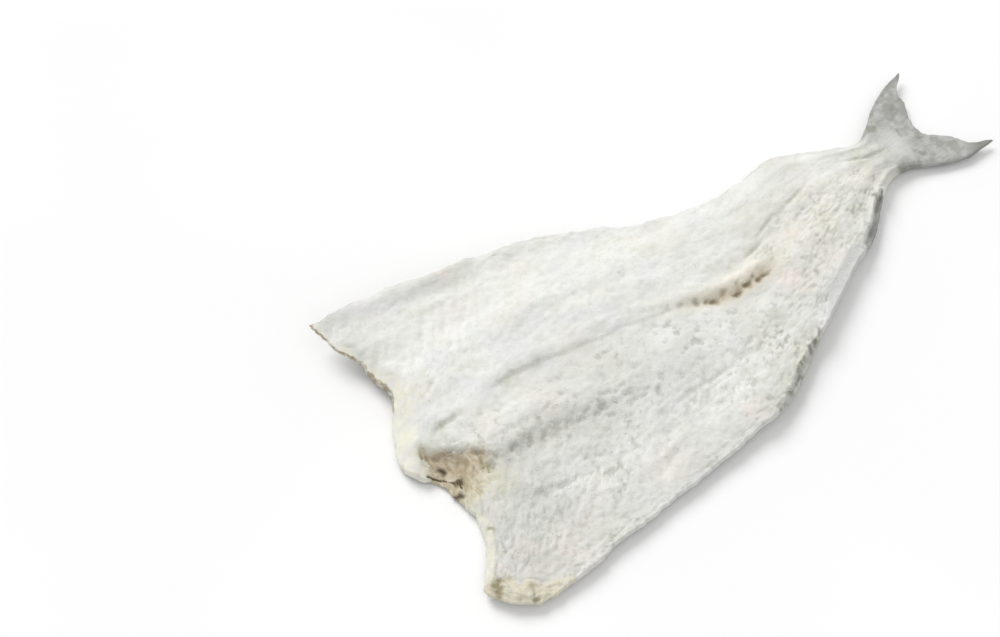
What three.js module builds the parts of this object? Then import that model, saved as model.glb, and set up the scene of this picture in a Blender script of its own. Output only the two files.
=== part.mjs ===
// A salted dried pollock: headless, split along the belly, backbone cut out and opened flat.
// It lies on its skin with the flesh up. The head was cut off at the nape, the tail fin is still on,
// and two dried anal fins show as thin margins along the right-hand edge.
// Millimetres. While it is shaped, x runs from the nape to the tail, y towards the left flap, z up.
// At the end the whole fish is moved so that the middle of its footprint is the origin, on the ground.
import * as THREE from "three";

// ---------------------------------------------------------------- driving dimensions
const FLAP_THICKNESS = 3.6; // dried belly wall at the outer edge
const MUSCLE_THICKNESS = 9; // plain muscle beside the backbone cut
const LEFT_LOIN_RISE = 7; // how far the thick back muscle stands above it, left half
const RIGHT_LOIN_RISE = 4; // and right half
const SPINE_DEPTH = 3.6; // deepest part of the furrow that the backbone left
const VALLEY_DEPTH = 2.4; // furrow between the right loin and the right belly flap
const HOLLOW_DEPTH = 8.5; // torn hollow at the nape, where the backbone and gullet were
const FLAP_CURL = 16; // how far the dried left flap has lifted off the ground at the nape
const TAIL_FIN_THICKNESS = 1.5;
const ANAL_FIN_THICKNESS = 3;
const EDGE_ROUND = 1.3; // the edges bulge outwards by this much at half height
const NAPE_RAGGEDNESS = 1.2; // how far the torn cut strays to either side of its line
const EDGE_RAGGEDNESS = 0.9; // and the belly edges from theirs
const UNEVENNESS = 0.7; // how far the dried flesh stands above and below its plain surface

const ROWS = 58; // mesh lines across the fish
const COLUMNS = 43; // mesh lines along it

// ---------------------------------------------------------------- curves from stations
// A smooth curve through [station, value] pairs that never overshoots between them.
function track(stations) {
  const at = stations.map(([station]) => station);
  const value = stations.map(([, v]) => v);
  const rise = at.slice(1).map((x, i) => (value[i + 1] - value[i]) / (x - at[i]));
  const slope = at.map((_, i) => {
    if (i === 0) return rise[0];
    if (i === at.length - 1) return rise[i - 1];
    const [before, after] = [rise[i - 1], rise[i]];
    return before * after <= 0 ? 0 : (2 * before * after) / (before + after);
  });
  return (wanted) => {
    const x = THREE.MathUtils.clamp(wanted, at[0], at[at.length - 1]);
    let i = 0;
    while (i < at.length - 2 && x >= at[i + 1]) i += 1;
    const h = at[i + 1] - at[i];
    const t = (x - at[i]) / h;
    return (
      (1 + 2 * t) * (1 - t) ** 2 * value[i] +
      t * (1 - t) ** 2 * h * slope[i] +
      t * t * (3 - 2 * t) * value[i + 1] +
      t * t * (t - 1) * h * slope[i + 1]
    );
  };
}

const ramp = (from, to, x) => {
  const t = THREE.MathUtils.clamp((x - from) / (to - from), 0, 1);
  return t * t * (3 - 2 * t);
};
const bell = (distance, width) => Math.exp(-((distance / width) ** 2));
const mix = (a, b, share) => a + (b - a) * share;

// Uneven ground: sines whose directions turn by the golden angle, roughly from -1 to 1.
const GOLDEN_ANGLE = 2.39996;
function waves(x, y, longest, octaves, seed, stretch = 1) {
  let total = 0;
  let power = 0;
  for (let octave = 0; octave < octaves; octave += 1) {
    const height = 0.8 ** octave;
    const wavenumber = (2 * Math.PI) / (longest * 0.74 ** octave);
    for (let turn = 0; turn < 3; turn += 1) {
      const angle = GOLDEN_ANGLE * (octave * 3 + turn) + seed;
      const along = (Math.cos(angle) * x) / stretch + Math.sin(angle) * y;
      total += height * Math.sin(wavenumber * along + 7.3 * angle + 1.7 * seed);
      power += (height * height) / 2;
    }
  }
  return total / Math.sqrt(power) / 2;
}

// ---------------------------------------------------------------- outline from above
// Half widths along the fish: belly flaps, the narrow tail stalk near x = 320, then the tail fin.
const leftEdge = track([
  [-18, 112], [0, 110], [30, 104], [60, 96], [90, 89], [120, 81], [150, 66], [180, 48], [205, 40.8],
  [228, 35.5], [248, 37], [266, 38], [282, 30.4], [300, 19.5], [317, 12.4], [326, 15.4], [338, 23],
  [351, 30], [364, 34.2], [377, 36],
]);
const rightEdge = track([
  [-40, -91.5], [-17, -98.6], [0, -100.5], [14, -100], [34, -98.6], [75, -97.3], [100, -95.7],
  [142, -95], [168, -92.7], [184, -85.5], [196, -80], [208, -73.8], [220, -67], [240, -58.8],
  [262, -48.7], [283, -41.4], [298, -29.2], [310, -21.6], [320, -18], [329, -18.6], [341, -24.2],
  [352, -30.7], [370, -35.8], [388, -35.8],
]);
// The line that the backbone left: from the nape it wanders to the right and back to the tail.
const spineLine = track([
  [-20, 8], [10, 14], [40, 16], [68, 12], [96, 6], [132, -1.5], [156, -10], [178, -18.5], [200, -22.5],
  [216, -22], [236, -16], [262, -10.5], [295, -6.5], [321, -5], [360, -2],
]);
// Where each lengthwise line begins at the nape and ends in the fork of the tail, from the right
// edge (-1) over the backbone line (0) to the left edge (1).
const napeCut = track([
  [-1, -17.5], [-0.96, -26.5], [-0.93, -32.2], [-0.89, -34.7], [-0.86, -37.6], [-0.83, -38],
  [-0.785, -35.9], [-0.72, -31.2], [-0.61, -23], [-0.52, -17], [-0.44, -13.5], [-0.32, -13.5],
  [-0.23, -13], [-0.14, -16], [-0.06, -23.5], [0, -26],
  [0.06, -26], [0.16, -21], [0.26, -14], [0.35, -6], [0.43, -2.5], [0.58, -4.5], [0.69, -5.5],
  [0.78, -9], [0.87, -11.5], [1, -14],
]);
const tailFork = track([
  [-1, 385], [-0.79, 374], [-0.46, 368], [-0.1, 357], [0.11, 356], [0.29, 358], [0.62, 364],
  [0.77, 365], [1, 376],
]);

// The torn cut at the nape and the ragged belly edges, as small shifts of the outline.
const napeShift = (s) => NAPE_RAGGEDNESS * waves(60 * s, 0, 21, 3, 0.4);
const edgeShift = (x, side) => EDGE_RAGGEDNESS * ramp(310, 280, x) * waves(x, side * 40, 46, 3, 1.9);

// A place on the fish: t from the nape (0) to the tail (1), s from the right edge to the left.
function plan(t, s, inset) {
  const start = napeCut(s) + napeShift(s) + inset;
  const end = tailFork(s) - inset;
  const x = mix(start, end, t);
  const side = s >= 0 ? 1 : -1;
  const edge = (s >= 0 ? leftEdge(x) : rightEdge(x)) + side * (edgeShift(x, side) - inset);
  return { x, y: mix(spineLine(x), edge, Math.abs(s)) };
}

// ---------------------------------------------------------------- underside
// The skin lies flat on the ground along the back, and the dried flaps curl up from it.
const leftLift = track([
  [-20, FLAP_CURL], [50, 0.95 * FLAP_CURL], [100, 0.8 * FLAP_CURL], [150, 0.5 * FLAP_CURL],
  [200, 0.25 * FLAP_CURL], [260, 3.5], [320, 3], [345, 2], [380, 3],
]);
const rightLift = track([
  [-20, 2], [60, 2], [120, 3], [180, 5], [240, 5], [300, 4], [330, 1], [390, 2],
]);
const axisLift = track([[-30, 2.5], [0, 0], [280, 0], [325, 1], [345, 1.5], [390, 2]]);

// Share of the way from the backbone line (0) to the edge (1) on either half.
function outwards(x, y) {
  const spine = spineLine(x);
  const edge = y >= spine ? leftEdge(x) : rightEdge(x);
  return THREE.MathUtils.clamp((y - spine) / (edge - spine), 0, 1.1);
}

function underside(x, y) {
  const u = outwards(x, y);
  const curl = y > spineLine(x) ? leftLift(x) * ramp(0.15, 1.2, u) : rightLift(x) * ramp(0.5, 1.1, u);
  const edgeRound = 1.2 * ramp(0.82, 1, u) * ramp(340, 300, x);
  return axisLift(x) + curl + edgeRound;
}

// ---------------------------------------------------------------- flesh
// Lengthwise features of the flesh: distance of each from the middle line, along the fish.
const leftCrest = track([
  [-20, 40], [28, 38], [60, 38], [90, 39], [150, 31], [220, 22], [260, 16], [320, 3],
]);
const rightCrest = track([
  [-20, 8], [8, 4], [31, 2], [69, -3], [105, -9], [155, -22], [192, -34], [240, -34], [290, -19],
]);
const valleyLine = track([
  [-20, -12], [11, -19], [30, -23], [75, -32], [100, -36], [140, -43], [168, -50], [194, -54],
]);

// Plain thickness of the wall along the middle and at the edges, and where the thinning begins.
const middleThickness = track([
  [-20, 0.9 * MUSCLE_THICKNESS], [60, 0.95 * MUSCLE_THICKNESS], [140, MUSCLE_THICKNESS],
  [220, 1.1 * MUSCLE_THICKNESS], [300, 1.1 * MUSCLE_THICKNESS], [325, 0.85 * MUSCLE_THICKNESS],
  [338, 5], [352, 2.6], [380, TAIL_FIN_THICKNESS],
]);
const edgeThickness = track([
  [-20, FLAP_THICKNESS], [100, FLAP_THICKNESS], [150, 1.25 * FLAP_THICKNESS],
  [200, 1.5 * FLAP_THICKNESS], [290, 1.5 * FLAP_THICKNESS], [325, 5], [340, 3],
  [355, TAIL_FIN_THICKNESS], [390, TAIL_FIN_THICKNESS],
]);
const shoulder = track([[-20, 0.32], [100, 0.35], [160, 0.5], [230, 0.72], [300, 0.72], [390, 0.8]]);

// How strong each feature is along the fish, as a share of its driving dimension, and how wide.
const leftLoin = {
  rise: track([[-20, 0.6], [10, 1], [90, 1], [150, 0.8], [220, 0.5], [290, 0.3], [325, 0]]),
  width: track([[0, 28], [60, 27], [120, 22], [200, 13], [300, 8]]),
};
const rightLoin = {
  rise: track([[-20, 0.5], [10, 1], [70, 1], [140, 0.8], [200, 0.6], [250, 0.4], [330, 0]]),
  width: track([[0, 17], [60, 20], [140, 18], [300, 9]]),
};
const spineFurrow = {
  // Behind the furrow's torn end the backbone is still in and shows as a low ridge.
  depth: track([
    [10, 0], [35, 0.1], [60, 0.2], [120, 0.25], [150, 0.45], [172, 0.85], [185, 1], [206, 1],
    [222, 0.35], [235, -0.12], [260, -0.28], [300, -0.22], [325, 0],
  ]),
  width: track([[20, 5.5], [120, 5.5], [200, 5], [300, 4]]),
  rightBank: 3, // how many times wider its bank on the right loin is
};
const valley = {
  depth: track([[-20, 0.4], [10, 1], [60, 1], [90, 0.85], [130, 0.5], [170, 0.3], [230, 0]]),
  width: track([[-20, 8], [60, 8], [150, 8], [220, 6]]),
};
// The left flap has a rolled rim and a fold inside it, at these distances from its edge.
const rolledRim = { inset: 4, width: 4.5, rise: track([[-20, 0.6], [40, 1], [90, 0.8], [130, 0]]) };
const rimFold = {
  inset: 14, width: 5, depth: track([[0, 0], [40, 0.5], [60, 0.8], [80, 0.6], [110, 0]]),
};
const tornHollow = { x: -6, y: -6, reach: 14, width: 16 };
// Towards the cut the flesh slopes down to a share of its thickness, over a longer way at the left loin.
const cutEnd = { share: 0.62, length: 8 };
const cutLoin = { share: 0.45, length: 19, y: 26, width: 24 };

// Short furrows: middle x and y, direction as y per x, half length, half width, depth.
const furrows = [
  { x: 82, y: -82, slant: 1.5, reach: 12, width: 4, depth: 1.1 },
  { x: 244, y: 1, slant: 0.26, reach: 24, width: 3.4, depth: 1 },
  { x: 120, y: 30, slant: -0.25, reach: 22, width: 5, depth: 0.9 },
];

// The two anal fins: middle and half length along the right edge, and how far each stands out.
const analFins = [
  { x: 287, reach: 17, width: 5 },
  { x: 185, reach: 22, width: 4 },
];
const finMargin = (x) => {
  const shares = analFins.map((fin) => Math.max(0, 1 - ((x - fin.x) / fin.reach) ** 2));
  return Math.max(...analFins.map((fin, i) => fin.width * Math.sqrt(shares[i])));
};
// The flesh rises from the fin's middle to this far inside it.
const finSlope = { from: 0.55, beyond: 2.5 };

// Ridges of muscle that draw together towards the tail stalk.
const muscleRidges = {
  height: track([[150, 0], [220, 0.4], [290, 0.6], [318, 0.5], [335, 0]]),
  count: 3.5, // across the fish
  phase: 0.6,
};
const ridges = (x, y) => {
  const turns = (muscleRidges.count * y) / (leftEdge(x) - rightEdge(x));
  return muscleRidges.height(x) * Math.sin(2 * Math.PI * turns + muscleRidges.phase);
};

// A loin falls away steeply from its crest to the flap, and gently to the backbone line.
const GENTLE_SIDE = 2; // width of the gentle side, in distances from the crest to the backbone
function loin(x, y, crest, width) {
  const spine = spineLine(x);
  const inside = (y - crest) * (spine - crest) > 0;
  return bell(y - crest, inside ? GENTLE_SIDE * Math.abs(spine - crest) : width);
}

function thickness(x, y, fromCut) {
  const thinning = ramp(shoulder(x), 1, outwards(x, y));
  let t = mix(middleThickness(x), edgeThickness(x), thinning);
  const onLeft = LEFT_LOIN_RISE * leftLoin.rise(x) * loin(x, y, leftCrest(x), leftLoin.width(x));
  const onRight = RIGHT_LOIN_RISE * rightLoin.rise(x) * loin(x, y, rightCrest(x), rightLoin.width(x));
  t += Math.max(onLeft, onRight);
  const offSpine = y - spineLine(x);
  const bank = spineFurrow.width(x) * (offSpine < 0 ? spineFurrow.rightBank : 1);
  t -= SPINE_DEPTH * spineFurrow.depth(x) * bell(offSpine, bank);
  t -= VALLEY_DEPTH * valley.depth(x) * bell(y - valleyLine(x), valley.width(x));
  t -= HOLLOW_DEPTH * bell(x - tornHollow.x, tornHollow.reach) * bell(y - tornHollow.y, tornHollow.width);
  const fromLeft = leftEdge(x) - y;
  t += rolledRim.rise(x) * bell(fromLeft - rolledRim.inset, rolledRim.width);
  t -= rimFold.depth(x) * bell(fromLeft - rimFold.inset, rimFold.width);
  for (const f of furrows) {
    t -= f.depth * bell(x - f.x, f.reach) * bell(y - f.y - f.slant * (x - f.x), f.width);
  }
  t += ridges(x, y) * (1 - thinning);
  t += UNEVENNESS * waves(x, y, 62, 3, 0.9, 1.6) * ramp(340, 310, x);
  const atLoin = bell(y - cutLoin.y, cutLoin.width);
  const slope = ramp(0, mix(cutEnd.length, cutLoin.length, atLoin), fromCut);
  t *= mix(mix(cutEnd.share, cutLoin.share, atLoin), 1, slope);
  const margin = finMargin(x);
  if (margin > 0 && y < 0) {
    const inside = y - rightEdge(x);
    const rise = ramp(finSlope.from * margin, margin + finSlope.beyond, inside);
    t = mix(Math.min(t, ANAL_FIN_THICKNESS), t, rise);
  }
  return Math.max(t, TAIL_FIN_THICKNESS);
}

// ---------------------------------------------------------------- the solid
// Rows lie closer together at the cut and in the tail fin, columns closer towards the edges.
const rowPlace = track([[0, 0], [0.12, 0.05], [0.72, 0.78], [1, 1]]);
const columnPlace = track([
  [-1, -1], [-0.85, -0.95], [-0.62, -0.72], [0, 0], [0.62, 0.72], [0.85, 0.95], [1, 1],
]);

function place(row, column, inset) {
  const t = rowPlace(row / (ROWS - 1));
  const s = columnPlace((2 * column) / (COLUMNS - 1) - 1);
  const { x, y } = plan(t, s, inset);
  const low = underside(x, y);
  return { x, y, low, high: low + thickness(x, y, x - napeCut(s)) };
}

// Rows and columns of the rim, once round, counter-clockwise from above.
function rimPlaces() {
  const rim = [];
  for (let row = 0; row < ROWS - 1; row += 1) rim.push([row, 0]);
  for (let column = 0; column < COLUMNS - 1; column += 1) rim.push([ROWS - 1, column]);
  for (let row = ROWS - 1; row > 0; row -= 1) rim.push([row, COLUMNS - 1]);
  for (let column = COLUMNS - 1; column > 0; column -= 1) rim.push([0, column]);
  return rim;
}

function fishGeometry() {
  const points = [];
  const faces = [];
  const sheet = ROWS * COLUMNS;
  for (const level of ["high", "low"]) {
    for (let row = 0; row < ROWS; row += 1) {
      for (let column = 0; column < COLUMNS; column += 1) {
        const p = place(row, column, EDGE_ROUND);
        points.push(p.x, p.y, p[level]);
      }
    }
  }
  for (let row = 0; row < ROWS - 1; row += 1) {
    for (let column = 0; column < COLUMNS - 1; column += 1) {
      const a = row * COLUMNS + column;
      const b = a + COLUMNS;
      faces.push(a, b, b + 1, a, b + 1, a + 1);
      const [c, d] = [sheet + a, sheet + b];
      faces.push(c, d + 1, d, c, c + 1, d + 1);
    }
  }
  // The rim bulges out to the outline at half height, between the flesh and the skin.
  const rim = rimPlaces();
  const waist = points.length / 3;
  for (const [row, column] of rim) {
    const p = place(row, column, 0);
    points.push(p.x, p.y, (p.low + p.high) / 2);
  }
  rim.forEach(([row, column], i) => {
    const next = (i + 1) % rim.length;
    const high = row * COLUMNS + column;
    const nextHigh = rim[next][0] * COLUMNS + rim[next][1];
    const [middle, nextMiddle] = [waist + i, waist + next];
    faces.push(middle, nextHigh, high, middle, nextMiddle, nextHigh);
    faces.push(sheet + high, nextMiddle, middle, sheet + high, sheet + nextHigh, nextMiddle);
  });
  const geometry = new THREE.BufferGeometry();
  geometry.setAttribute("position", new THREE.Float32BufferAttribute(points, 3));
  geometry.setIndex(faces);
  geometry.computeVertexNormals();
  return geometry;
}

const saltedFlesh = new THREE.MeshStandardMaterial({ color: 0xe6e5df, roughness: 0.9, metalness: 0 });
const fish = new THREE.Mesh(fishGeometry(), saltedFlesh);
fish.name = "split_pollock";

const box = new THREE.Box3().setFromObject(fish);
const middle = box.getCenter(new THREE.Vector3());
fish.position.set(-middle.x, -middle.y, -box.min.z);

const part = new THREE.Group();
part.add(fish);
export default part;
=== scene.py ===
"""Looks of a salted dried pollock: a headless fish, split along the belly and opened flat, flesh side up.

The fish is shaped in millimetres in a frame of its own, x from the nape to the tail, y towards the left flap
and z up. add_mesh moves it onto the CAD solid.
"""
import functools
import math

import bpy
import numpy as np
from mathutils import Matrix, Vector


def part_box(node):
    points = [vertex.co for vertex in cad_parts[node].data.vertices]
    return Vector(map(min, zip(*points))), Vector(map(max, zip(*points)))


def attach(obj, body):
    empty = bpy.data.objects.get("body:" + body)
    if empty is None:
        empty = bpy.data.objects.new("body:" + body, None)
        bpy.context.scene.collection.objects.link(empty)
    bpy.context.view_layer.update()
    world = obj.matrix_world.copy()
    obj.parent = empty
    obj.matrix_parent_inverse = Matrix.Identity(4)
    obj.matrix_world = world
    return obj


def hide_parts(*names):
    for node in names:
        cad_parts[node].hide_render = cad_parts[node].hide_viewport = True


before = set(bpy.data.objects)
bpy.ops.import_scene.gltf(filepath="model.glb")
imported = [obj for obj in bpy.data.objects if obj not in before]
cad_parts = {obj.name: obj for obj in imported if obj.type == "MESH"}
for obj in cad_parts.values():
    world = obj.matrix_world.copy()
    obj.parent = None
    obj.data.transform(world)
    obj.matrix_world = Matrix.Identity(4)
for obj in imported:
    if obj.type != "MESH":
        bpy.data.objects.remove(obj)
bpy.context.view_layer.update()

MM = 0.001

# ------ sizes, in mm
FLAP_THICKNESS = 3.6  # of the belly wall at the outer edge
MUSCLE_THICKNESS = 9  # beside the backbone cut
LEFT_LOIN_RISE, RIGHT_LOIN_RISE = 7, 4  # of the thick back muscle above that
SPINE_DEPTH = 3.6  # of the furrow that the backbone left
VALLEY_DEPTH = 2.4  # between the right loin and its flap
HOLLOW_DEPTH = 8.5  # torn into the nape
FLAP_CURL = 16  # of the left flap off the ground, at the nape
TAIL_FIN_THICKNESS, ANAL_FIN_THICKNESS = 1.5, 3
EDGE_ROUND = 1.3  # how far the edges bulge at half height
NAPE_RAGGEDNESS, EDGE_RAGGEDNESS = 1.2, 0.9  # how far both stray from their lines
UNEVENNESS = 0.7  # of the dried flesh
NAPE_FRAY, TAIL_FRAY = 0.9, 0.6  # how far torn fibres stray there
NAPE_HALF_WIDTH = 105

ROWS, COLUMNS = 433, 205  # mesh lines of the visible surface
RIM_RINGS = 6
SKIN_STEP = 2  # the skin has every second mesh line
SOLID_ROWS, SOLID_COLUMNS = 58, 43  # mesh lines of the CAD solid
SEED = 7  # to which each noise adds a number of its own


# ------ curves and noise
def track(*stations):
    """A smooth curve through (station, value) pairs that never overshoots between them."""
    at, value = np.array(stations, float).T
    rise = np.diff(value) / np.diff(at)
    before, after = rise[:-1], rise[1:]
    same_way = before * after > 0
    inner = np.where(same_way, 2 * before * after / np.where(same_way, before + after, 1), 0)
    slope = np.concatenate([rise[:1], inner, rise[-1:]])

    def curve(wanted):
        x = np.clip(wanted, at[0], at[-1])
        i = np.clip(np.searchsorted(at, x, side="right") - 1, 0, len(at) - 2)
        h = at[i + 1] - at[i]
        t = (x - at[i]) / h
        ends = (1 + 2 * t) * (1 - t) ** 2 * value[i] + t * t * (3 - 2 * t) * value[i + 1]
        return ends + t * (1 - t) ** 2 * h * slope[i] + t * t * (t - 1) * h * slope[i + 1]

    return curve


def ramp(start, end, x):
    t = np.clip((x - start) / (end - start), 0, 1)
    return t * t * (3 - 2 * t)


def bell(distance, width):
    return np.exp(-((distance / width) ** 2))


def mix(a, b, share):
    return a + (b - a) * share


GOLDEN_ANGLE = 2.39996


def waves(x, y, longest, octaves, seed, stretch=1.0):
    """Uneven ground from sines that turn by the golden angle, roughly from -1 to 1."""
    total, power = 0.0, 0.0
    for octave in range(octaves):
        height = 0.8**octave
        wavenumber = 2 * np.pi / (longest * 0.74**octave)
        for turn in range(3):
            angle = GOLDEN_ANGLE * (octave * 3 + turn) + seed
            along = np.cos(angle) * x / stretch + np.sin(angle) * y
            total = total + height * np.sin(wavenumber * along + 7.3 * angle + 1.7 * seed)
            power += height * height / 2
    return total / np.sqrt(power) / 2


LATTICE = 128  # the noise repeats after this many bumps
LATTICE_START = (31.7, 17.3)
NOISE_GAIN = 1.9  # brings gradient noise to about -1 to 1


def noise(x, y, size, seed):
    """Gradient noise, roughly from -1 to 1, with bumps about size across."""
    angles = np.random.default_rng(SEED + seed).uniform(0, 2 * np.pi, (LATTICE, LATTICE))
    u, v = np.broadcast_arrays(x / size + LATTICE_START[0], y / size + LATTICE_START[1])
    i, j = np.floor(u).astype(int), np.floor(v).astype(int)
    total = 0.0
    for di in (0, 1):
        for dj in (0, 1):
            angle = angles[(i + di) % LATTICE, (j + dj) % LATTICE]
            du, dv = u - i - di, v - j - dj
            weight = (1 - ramp(0, 1, np.abs(du))) * (1 - ramp(0, 1, np.abs(dv)))
            total = total + weight * (np.cos(angle) * du + np.sin(angle) * dv)
    return NOISE_GAIN * total


OCTAVE_TURN = 0.9  # in radians
OCTAVE_RATIO = 1.9


def rough(x, y, size, octaves, seed, gain=0.6):
    """Noise with finer noise on it, each octave gain times as high as the last."""
    total = 0.0
    for octave in range(octaves):
        turn = OCTAVE_TURN * octave
        u, v = np.cos(turn) * x - np.sin(turn) * y, np.sin(turn) * x + np.cos(turn) * y
        total = total + gain**octave * noise(u, v, size / OCTAVE_RATIO**octave, seed + octave)
    return total


# ------ outline from above
# y of the edges and of the line that the backbone left, along the fish.
left_edge = track(
    (-18, 112), (0, 110), (30, 104), (60, 96), (90, 89), (120, 81), (150, 66), (180, 48), (205, 40.8),
    (228, 35.5), (248, 37), (266, 38), (282, 30.4), (300, 19.5), (317, 12.4), (326, 15.4), (338, 23),
    (351, 30), (364, 34.2), (377, 36),
)
right_edge = track(
    (-40, -91.5), (-17, -98.6), (0, -100.5), (14, -100), (34, -98.6), (75, -97.3), (100, -95.7),
    (142, -95), (168, -92.7), (184, -85.5), (196, -80), (208, -73.8), (220, -67), (240, -58.8),
    (262, -48.7), (283, -41.4), (298, -29.2), (310, -21.6), (320, -18), (329, -18.6), (341, -24.2),
    (352, -30.7), (370, -35.8), (388, -35.8),
)
spine_line = track(
    (-20, 8), (10, 14), (40, 16), (68, 12), (96, 6), (132, -1.5), (156, -10), (178, -18.5), (200, -22.5),
    (216, -22), (236, -16), (262, -10.5), (295, -6.5), (321, -5), (360, -2),
)
# x where the lengthwise lines begin and end, from the right edge (-1) over that line (0) to the left (1).
nape_cut = track(
    (-1, -17.5), (-0.96, -26.5), (-0.93, -32.2), (-0.89, -34.7), (-0.86, -37.6), (-0.83, -38),
    (-0.785, -35.9), (-0.72, -31.2), (-0.61, -23), (-0.52, -17),
    (-0.44, -13.5), (-0.32, -13.5), (-0.23, -13), (-0.14, -16), (-0.06, -23.5), (0, -26), (0.06, -26),
    (0.16, -21), (0.26, -14), (0.35, -6), (0.43, -2.5), (0.58, -4.5), (0.69, -5.5), (0.78, -9),
    (0.87, -11.5), (1, -14),
)
tail_fork = track(
    (-1, 385), (-0.79, 374), (-0.46, 368), (-0.1, 357), (0.11, 356), (0.29, 358), (0.62, 364),
    (0.77, 365), (1, 376),
)


def plan(t, s, inset=0.0, torn=0.0):
    """A place on the fish: t from the nape (0) to the tail (1), s across as above.

    inset is how far the edges are drawn in, and torn the share of fine fraying they get.
    """
    side = np.where(s >= 0, 1, -1)
    start = nape_cut(s) + NAPE_RAGGEDNESS * waves(60 * s, 0, 21, 3, 0.4) + inset
    start = start + torn * (NAPE_FRAY * rough(NAPE_HALF_WIDTH * s, 0, 5, 3, 40) + 0.5)
    frayed = TAIL_FRAY * torn * rough(40 * s, 0, 4.5, 2, 60)
    x = mix(start, tail_fork(s) - inset + frayed, t)
    ragged = EDGE_RAGGEDNESS * ramp(310, 280, x) * waves(x, side * 40, 46, 3, 1.9)
    ragged = ragged + torn * (0.15 + 0.4 * ramp(330, 300, x)) * rough(x, side * 40, 6, 3, 50)
    edge = np.where(s >= 0, left_edge(x), right_edge(x)) + side * (ragged - inset)
    return x, mix(spine_line(x), edge, np.abs(s))


# ------ underside
# Height above the ground at the left edge, at the right edge and in between.
left_lift = track(
    (-20, FLAP_CURL), (50, 0.95 * FLAP_CURL), (100, 0.8 * FLAP_CURL), (150, 0.5 * FLAP_CURL),
    (200, 0.25 * FLAP_CURL), (260, 3.5), (320, 3), (345, 2), (380, 3),
)
right_lift = track((-20, 2), (60, 2), (120, 3), (180, 5), (240, 5), (300, 4), (330, 1), (390, 2))
axis_lift = track((-30, 2.5), (0, 0), (280, 0), (325, 1), (345, 1.5), (390, 2))


def outwards(x, y):
    """Share of the way from the backbone line (0) to the edge (1) on either half."""
    spine = spine_line(x)
    edge = np.where(y >= spine, left_edge(x), right_edge(x))
    return np.clip((y - spine) / (edge - spine), 0, 1.1)


def underside(x, y):
    u = outwards(x, y)
    left_curl = left_lift(x) * ramp(0.15, 1.2, u)
    right_curl = right_lift(x) * ramp(0.5, 1.1, u)
    edge_round = 1.2 * ramp(0.82, 1, u) * ramp(340, 300, x)
    return axis_lift(x) + np.where(y > spine_line(x), left_curl, right_curl) + edge_round


# ------ flesh
# y of the loins' crests and of the valley beside the right one, along the fish.
left_crest = track((-20, 40), (28, 38), (60, 38), (90, 39), (150, 31), (220, 22), (260, 16), (320, 3))
right_crest = track(
    (-20, 8), (8, 4), (31, 2), (69, -3), (105, -9), (155, -22), (192, -34), (240, -34), (290, -19)
)
valley_line = track(
    (-20, -12), (11, -19), (30, -23), (75, -32), (100, -36), (140, -43), (168, -50), (194, -54)
)

# Plain thickness along the middle and at the edges, and where the thinning begins.
middle_thickness = track(
    (-20, 0.9 * MUSCLE_THICKNESS), (60, 0.95 * MUSCLE_THICKNESS), (140, MUSCLE_THICKNESS),
    (220, 1.1 * MUSCLE_THICKNESS), (300, 1.1 * MUSCLE_THICKNESS), (325, 0.85 * MUSCLE_THICKNESS),
    (338, 5), (352, 2.6), (380, TAIL_FIN_THICKNESS),
)
edge_thickness = track(
    (-20, FLAP_THICKNESS), (100, FLAP_THICKNESS), (150, 1.25 * FLAP_THICKNESS),
    (200, 1.5 * FLAP_THICKNESS), (290, 1.5 * FLAP_THICKNESS), (325, 5), (340, 3),
    (355, TAIL_FIN_THICKNESS), (390, TAIL_FIN_THICKNESS),
)
shoulder = track((-20, 0.32), (100, 0.35), (160, 0.5), (230, 0.72), (300, 0.72), (390, 0.8))

# How strong each feature is, as a share of its size above, and how wide.
left_loin_rise = track((-20, 0.6), (10, 1), (90, 1), (150, 0.8), (220, 0.5), (290, 0.3), (325, 0))
left_loin_width = track((0, 28), (60, 27), (120, 22), (200, 13), (300, 8))
right_loin_rise = track((-20, 0.5), (10, 1), (70, 1), (140, 0.8), (200, 0.6), (250, 0.4), (330, 0))
right_loin_width = track((0, 17), (60, 20), (140, 18), (300, 9))
# Behind the furrow's torn end the backbone is still in, as a low ridge.
furrow_depth = track(
    (10, 0), (35, 0.1), (60, 0.2), (120, 0.25), (150, 0.45), (172, 0.85), (185, 1), (206, 1), (222, 0.35),
    (235, -0.12), (260, -0.28), (300, -0.22), (325, 0),
)
furrow_width = track((20, 5.5), (120, 5.5), (200, 5), (300, 4))
GENTLE_SIDE = 2  # of a loin, in distances from its crest to the backbone line
GENTLE_BANK = 3  # of the furrow, on the right loin, in widths of the other
valley_depth = track((-20, 0.4), (10, 1), (60, 1), (90, 0.85), (130, 0.5), (170, 0.3), (230, 0))
valley_width = track((-20, 8), (60, 8), (150, 8), (220, 6))
# The left flap's rolled rim, and a fold inside it.
RIM_INSET, RIM_WIDTH = 4, 4.5
FOLD_INSET, FOLD_WIDTH = 14, 5
rim_rise = track((-20, 0.6), (40, 1), (90, 0.8), (130, 0))
fold_depth = track((0, 0), (40, 0.5), (60, 0.8), (80, 0.6), (110, 0))
HOLLOW_X, HOLLOW_Y, HOLLOW_REACH, HOLLOW_WIDTH = -6, -6, 14, 16
# Ridges of muscle draw together towards the tail.
ridge_height = track((150, 0), (220, 0.4), (290, 0.6), (318, 0.5), (335, 0))
RIDGES, RIDGE_PHASE = 3.5, 0.6
# At the nape cut the flesh thins to a share, over a length that is longer at the left loin.
CUT_SHARE, CUT_LENGTH = 0.62, 8
LOIN_CUT_SHARE, LOIN_CUT_LENGTH, LOIN_CUT_Y, LOIN_CUT_WIDTH = 0.45, 19, 26, 24

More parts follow.
